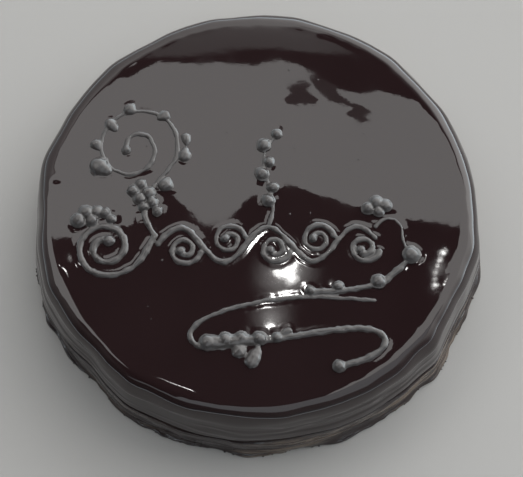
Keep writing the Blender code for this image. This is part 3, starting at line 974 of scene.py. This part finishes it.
def make_relief_tree():
    """A tree that pushes the wall in and out, lifts the top beside the strands, and notes the smear."""
    shapes = dict.fromkeys(("Scroll", "Frond", "Flourish"))
    sizes = dict(Streaks=STREAK_RELIEF, Folds=FOLD_RELIEF, Runs=RUN_RELIEF, Sag=SAG_RELIEF)
    tree, given = new_geometry_tree("relief_of_the_glaze", **shapes, Swell=SWELL_HEIGHT, **sizes)
    place = add_node(tree, "GeometryNodeInputPosition").outputs[0]
    z = apart(tree, place)[2]
    flat = vector_maths(tree, "MULTIPLY", place, (1.0, 1.0, 0.0))
    radius = length_of(tree, flat)
    outward = vector_maths(tree, "NORMALIZE", flat)
    on_wall = remap(tree, radius, 0.5 * (RIM_RADIUS + WALL_RADIUS), WALL_RADIUS)
    above_base = remap(tree, z, 0.0, 1.5 * MM)
    low = remap(tree, z, CREASE_HEIGHT - 1 * MM, CREASE_HEIGHT - 4 * MM)
    smear = product(tree, low, on_wall)
    streaks = centred_noise(tree, place, STREAK_RELIEF_GRAIN, 2.0, 0.4)
    smeared = product(tree, streaks, given["Streaks"], smear, above_base)
    folds = product(tree, centred_noise(tree, place, FOLD_GRAIN, 1.0), given["Folds"])
    runs = remap(tree, noise(tree, place, RUN_GRAIN), *RUN_RANGE)
    under_roll = remap(tree, z, HEIGHT - 0.9 * SHOULDER_DROP, HEIGHT - 0.4 * SHOULDER_DROP, 1.0, 0.0)
    flowed = maths(tree, "ADD", folds, product(tree, runs, under_roll, given["Runs"]))
    on_roll = remap(tree, radius, SIDE_START, 0.8 * WALL_RADIUS + 0.2 * RIM_RADIUS)
    folded = product(tree, flowed, on_roll, above_base)
    upper_half = remap(tree, z, 0.5 * HEIGHT, 0.8 * HEIGHT)
    sag = product(tree, centred_noise(tree, place, SAG_GRAIN), given["Sag"], on_roll, upper_half)
    push = scaled(tree, outward, maths(tree, "ADD", smeared, folded))
    near = None
    for label in shapes:
        shape = add_node(tree, "GeometryNodeObjectInfo", {"Object": given[label]}).outputs["Geometry"]
        gap = add_node(tree, "GeometryNodeProximity", {0: shape}, target_element="POINTS").outputs["Distance"]
        near = gap if near is None else maths(tree, "MINIMUM", near, gap)
    on_top = remap(tree, radius, RIM_RADIUS, RIM_RADIUS - 4 * MM)
    upper = maths(tree, "GREATER_THAN", z, 0.8 * HEIGHT)
    swell = remap(tree, near, 0.0, SWELL_WIDTH, 1.0, 0.0, "SMOOTHERSTEP")
    lift = maths(tree, "ADD", product(tree, swell, given["Swell"], on_top, upper), sag)
    offset = vector_maths(tree, "ADD", push, together(tree, 0.0, 0.0, lift))
    note = {"Geometry": given["Geometry"], "Name": "smear", "Value": smear}
    noted = add_node(tree, "GeometryNodeStoreNamedAttribute", note, data_type="FLOAT", domain="POINT")
    moved = add_node(tree, "GeometryNodeSetPosition", {"Geometry": noted.outputs[0], "Offset": offset})
    smooth = add_node(tree, "GeometryNodeSetShadeSmooth", {"Geometry": moved.outputs[0]})
    end_tree(tree, smooth.outputs[0], glaze)
    return tree


run_tree(body, make_relief_tree(), Scroll=scroll, Frond=frond, Flourish=flourish)
freeze(body)
print("body after relief:", len(body.data.polygons), "faces")

# %% [markdown]
# ## Drops and specks
#
# Along the foot the glaze ran out in small drops, and a few tiny bubbles and splashes of the piping
# set on the top. Each is a flattened ball. Those at the foot sit at chosen points of the lip's own
# edge, so they follow its waves. They are instances that the tree makes real at its end.

# %% The drops and specks
DROP_COUNT = 90
DROP_SIZE = 0.8 * MM
DROP_SMALLEST = (0.5, 0.5, 0.35)
DROP_LARGEST = (1.9, 1.9, 0.8)
SPECK_COUNT = 16
SPECK_REACH = 0.82 * RIM_RADIUS


def foot_points():
    """The points of the body's edge near the base, thinned out by a seeded draw."""
    places = places_of(body.data)
    radius = np.hypot(places[:, 0], places[:, 1])
    in_lip = (places[:, 2] < 0.9 * LIP_HEIGHT) & (places[:, 2] > 0.2 * MM)
    edge = places[in_lip & (radius > 0.95 * FOOT_RADIUS)]
    draw = random.Random(SEED)
    return [tuple(edge[draw.randrange(len(edge))]) for _ in range(DROP_COUNT)]


def top_points():
    """A few places on the flat top, drawn evenly over its disc."""
    draw = random.Random(SEED + 1)
    points = []
    for _ in range(SPECK_COUNT):
        radius = SPECK_REACH * math.sqrt(draw.random())
        turn = math.tau * draw.random()
        x, y = radius * math.cos(turn), radius * math.sin(turn)
        points.append((x, y, float(top_height(x, y))))
    return points


def make_drops_tree():
    """A tree that sets a flattened ball of a random size on every point."""
    tree, given = new_geometry_tree("drops_and_specks", Size=DROP_SIZE)
    ball = add_node(tree, "GeometryNodeMeshIcoSphere", {"Radius": 0.5, "Subdivisions": 3}).outputs[0]
    limits = {"Min": DROP_SMALLEST, "Max": DROP_LARGEST, "Seed": SEED}
    share = add_node(tree, "FunctionNodeRandomValue", limits, data_type="FLOAT_VECTOR").outputs[0]
    size = scaled(tree, share, given["Size"])
    placing = {"Points": given["Geometry"], "Instance": ball, "Scale": size}
    placed = add_node(tree, "GeometryNodeInstanceOnPoints", placing)
    smooth = add_node(tree, "GeometryNodeSetShadeSmooth", {"Geometry": placed.outputs[0]})
    end_tree(tree, smooth.outputs[0], glaze)
    return tree


drops = new_object("glaze_drops", foot_points() + top_points())
run_tree(drops, make_drops_tree())
freeze(drops)
print("drops:", len(drops.data.polygons), "faces")

# %% [markdown]
# ## Seating every piece
#
# All pieces were drawn about the axis of the turned shape. The imported model stands with the middle of
# its outline on the axis, so each piece is moved by the same small step, in its mesh and not by its
# object. Then each is told which body it rides on, and the imported solid is hidden.

# %% Seat the pieces and tie them to the frame
pieces = (body, scroll, frond, flourish, drops)
for piece in pieces:
    put_places(piece.data, places_of(piece.data) + SEAT)
    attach(piece, "root")
    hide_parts("glazed_cake")
    print(piece.name, "rides on root")

# %% [markdown]
# ## The floor
#
# The floor is plain and pale. It is large enough that its edge is never seen.

# %% The floor
FLOOR_SIZE = 12.0
FLOOR_COLOUR = (0.46, 0.45, 0.44, 1.0)
FLOOR_ROUGHNESS = 0.7
FLOOR_GAP = 0.1 * MM


def make_floor():
    """A pale square, just under the cake."""
    half = 0.5 * FLOOR_SIZE
    level = frame_box[0][2] - FLOOR_GAP
    corners = [(x * half, y * half, level) for x, y in ((-1, -1), (1, -1), (1, 1), (-1, 1))]
    floor = new_object("floor", corners, (), [(0, 1, 2, 3)])
    material, tree, shader, _ = new_material("pale_floor")
    fill(tree, shader, {"Base Color": FLOOR_COLOUR, "Roughness": FLOOR_ROUGHNESS})
    floor.data.materials.append(material)
    return floor


floor = make_floor()

# %% [markdown]
# ## The studio
#
# A mirror shows its surroundings, so the lights are shapes as well as lights. A broad pale ceiling
# card gives the grey of the back half of the top. The front half mirrors something dark, most likely
# whoever held the camera, so the card has a bay cut out of it there. The far edge of the card shows as
# the dark line along the back of the cake, and two dark ragged cut-outs hang under it. The outlines
# follow the photograph's reflections, traced from it. Their points are in metres, on the card's level.

# %% Light cards
CARD_HEIGHT = 2.0
CEILING_STRENGTH = 1.82
FRONT_STRENGTH = 1.0
CUT_OUT_STRENGTH = 0.2
CEILING_COLOUR = (1.0, 1.0, 0.985)
FRONT_COLOUR = (0.90, 0.96, 1.0)


def card(name, places, strength, colour, level=CARD_HEIGHT):
    """A flat card, at a level above the floor, that glows with the given strength."""
    item = new_object(name, [(x, y, level) for x, y in places], (), [tuple(range(len(places)))])
    material = bpy.data.materials.new(name)
    material.use_nodes = True
    tree = material.node_tree
    tree.nodes.clear()
    glow = add_node(tree, "ShaderNodeEmission", {"Color": (*colour, 1.0), "Strength": strength})
    add_node(tree, "ShaderNodeOutputMaterial", {"Surface": glow.outputs[0]})
    item.data.materials.append(material)
    return item


BAY_EDGE = (
    (-0.47, 0.10), (-0.47, 0.745), (-0.294, 0.757), (-0.230, 0.778), (-0.213, 0.843), (-0.167, 0.851),
    (-0.120, 0.800), (-0.102, 0.779), (-0.065, 0.782), (-0.028, 0.826), (0.056, 0.859), (0.129, 0.834),
    (0.184, 0.814), (0.273, 0.785), (0.336, 0.773), (0.358, 0.766), (0.376, 0.752), (0.388, 0.734),
    (0.378, 0.716), (0.350, 0.702), (0.338, 0.688), (0.332, 0.652), (0.324, 0.618), (0.308, 0.596),
    (0.265, 0.546), (0.255, 0.520), (0.225, 0.450), (0.20, 0.10),
)
FAR_EDGE = (
    (1.8, 1.026), (0.303, 1.026), (0.256, 1.039), (0.224, 1.050), (0.191, 1.042), (0.148, 1.051),
    (0.126, 1.065), (0.079, 1.098), (0.041, 1.109), (-0.001, 1.098), (-0.084, 1.110), (-0.189, 1.116),
    (-0.252, 1.077), (-1.8, 1.05),
)
CUT_OUTS = (
    (
        (0.050, 1.050), (0.079, 1.063), (0.098, 1.055), (0.086, 1.046), (0.110, 1.023), (0.104, 1.015),
        (0.052, 1.020), (0.047, 1.030), (0.061, 1.039),
    ),
    (
        (0.094, 1.072), (0.105, 1.077), (0.144, 1.053), (0.145, 1.039), (0.169, 1.021), (0.203, 1.004),
        (0.211, 0.997), (0.194, 0.990), (0.208, 0.979), (0.189, 0.975), (0.159, 0.995), (0.177, 1.008),
        (0.126, 1.025), (0.102, 1.051),
    ),
)
card("ceiling_card", [(-1.8, 0.10), *BAY_EDGE, (1.8, 0.10), *FAR_EDGE], CEILING_STRENGTH, CEILING_COLOUR)
FRONT_EDGE = (
    (-2.2, -1.7), (1.5, -1.7), (1.5, 0.08), (0.30, 0.08), (0.08, 0.06), (0.0, 0.02), (-0.35, -0.4),
    (-0.9, -1.2),
)
card("front_card", FRONT_EDGE, FRONT_STRENGTH, FRONT_COLOUR)
for index, outline in enumerate(CUT_OUTS):
    card(f"cut_out_{index}", outline, CUT_OUT_STRENGTH, CEILING_COLOUR, CARD_HEIGHT - 5 * MM)

# %% [markdown]
# ## The lamps
#
# Small lamps give the sharp highlights. Each is a disc that glows most in its middle and fades towards
# its edge, so its reflection has a soft halo, as a lamp has that is seen in dark glass. The fading
# comes from the distance to the disc's own middle. Rows of small lamps make the long highlights.

# %% The lamps
# (x, y, radius in metres, strength in the middle)
LAMPS = (
    (0.046, 0.690, 0.029, 260.0), (0.048, 0.680, 0.080, 6.0), (0.058, 0.666, 0.020, 30.0),
    (0.022, 0.579, 0.014, 110.0), (0.024, 0.596, 0.058, 3.5), (0.331, 0.719, 0.010, 50.0),
    (0.326, 0.707, 0.009, 22.0), (0.322, 0.696, 0.008, 18.0), (0.319, 0.684, 0.008, 16.0),
    (0.318, 0.672, 0.008, 20.0), (0.318, 0.659, 0.010, 44.0), (0.324, 0.690, 0.026, 3.0),
    (-0.361, 0.677, 0.011, 50.0), (-0.335, 0.710, 0.011, 12.0),
    (-0.178, 0.458, 0.009, 8.0), (-0.170, 0.454, 0.009, 14.0), (-0.162, 0.450, 0.009, 20.0),
    (-0.154, 0.446, 0.009, 28.0), (-0.146, 0.441, 0.009, 36.0), (-0.138, 0.436, 0.009, 50.0),
    (-0.130, 0.431, 0.010, 60.0),
)
LAMP_COLOUR = (1.0, 0.99, 0.97)
LAMP_SIDES = 24
LAMP_FADING = 2.6
LAMP_GAP = 1 * MM


def make_lamp(index, x, y, radius, strength):
    """A glowing disc that fades towards its edge. Each hangs a little lower than the one before."""
    turns = [math.tau * step / LAMP_SIDES for step in range(LAMP_SIDES)]
    places = [(radius * math.cos(turn), radius * math.sin(turn)) for turn in turns]
    lamp = card(f"lamp_{index}", places, strength, LAMP_COLOUR, 0.0)
    lamp.location = (x, y, CARD_HEIGHT - LAMP_GAP * (index + 1))
    tree = lamp.data.materials[0].node_tree
    place = add_node(tree, "ShaderNodeTexCoord").outputs["Object"]
    inwards = remap(tree, length_of(tree, place), 0.0, radius, 1.0, 0.0, "LINEAR")
    fading = maths(tree, "POWER", inwards, LAMP_FADING)
    glow = next(node for node in tree.nodes if node.type == "EMISSION")
    fill(tree, glow, {"Strength": product(tree, fading, strength)})
    clear = add_node(tree, "ShaderNodeBsdfTransparent")
    both = add_node(tree, "ShaderNodeAddShader", {0: glow.outputs[0], 1: clear.outputs[0]})
    ending = next(node for node in tree.nodes if node.type == "OUTPUT_MATERIAL")
    fill(tree, ending, {"Surface": both.outputs[0]})


for index, (x, y, radius, strength) in enumerate(LAMPS):
    make_lamp(index, x, y, radius, strength)

# %% [markdown]
# ## The walls of the room
#
# Past the cards the glaze mirrors the walls. They are brightest low down, as if from windows, and they
# are darker in front, behind the camera, and to the left. A world whose shade depends on direction
# gives all three, and a thin bright line at its horizon draws the fine glints along the ledges.

# %% The surroundings
# Each row is a change of shade: where along the direction it starts and ends, and from what to what
LOW_WALLS = (0.02, 0.35, 2.1, 1.2)
CEILING_SHADE = (0.76, 0.87, 1.0, 0.02)
FAR_WALL_EDGE = (0.531, 0.536, 0.0, 0.42)
FAR_WALL = (0.536, 0.60, 0.0, 0.9)
CORNER_ACROSS = (0.03, 0.09, 0.0, 0.85)
CORNER_UP = (0.74, 0.86, 0.0, 1.0)
FRONT_SHADE = (-0.45, 0.25, 0.1, 1.0)
LEFT_TO_RIGHT = (-0.7, 0.8, 0.35, 1.9)
HORIZON = (0.0, 0.05, 3.0, 0.0)
BLUE_WALLS = (0.0, 0.4, 1.0, 0.0)
HIGH_COLOUR = (1.0, 1.0, 0.98, 1.0)
LOW_COLOUR = (0.82, 0.94, 1.0, 1.0)


def make_surroundings():
    """The walls of the room, as a world whose shade depends on direction."""
    world = bpy.data.worlds.new("studio")
    bpy.context.scene.world = world
    world.use_nodes = True
    tree = world.node_tree
    direction = add_node(tree, "ShaderNodeTexCoord").outputs["Generated"]
    x, y, z = apart(tree, direction)
    low = remap(tree, z, *LOW_WALLS)
    slope = maths(tree, "DIVIDE", y, maths(tree, "MAXIMUM", z, 0.01))
    far_wall = maths(tree, "ADD", remap(tree, slope, *FAR_WALL_EDGE), remap(tree, slope, *FAR_WALL))
    high = maths(tree, "MAXIMUM", remap(tree, z, *CEILING_SHADE), far_wall)
    corner = product(tree, remap(tree, x, *CORNER_ACROSS), remap(tree, z, *CORNER_UP))
    open_wall = maths(tree, "SUBTRACT", 1.0, corner)
    lit = product(tree, low, high, open_wall, remap(tree, y, *FRONT_SHADE), remap(tree, x, *LEFT_TO_RIGHT))
    shade = maths(tree, "ADD", lit, remap(tree, z, *HORIZON))
    tint = mix_colours(tree, remap(tree, z, *BLUE_WALLS), HIGH_COLOUR, LOW_COLOUR)
    fill(tree, tree.nodes["Background"], {"Color": tint, "Strength": shade})


make_surroundings()
bpy.context.scene.view_settings.view_transform = "Standard"
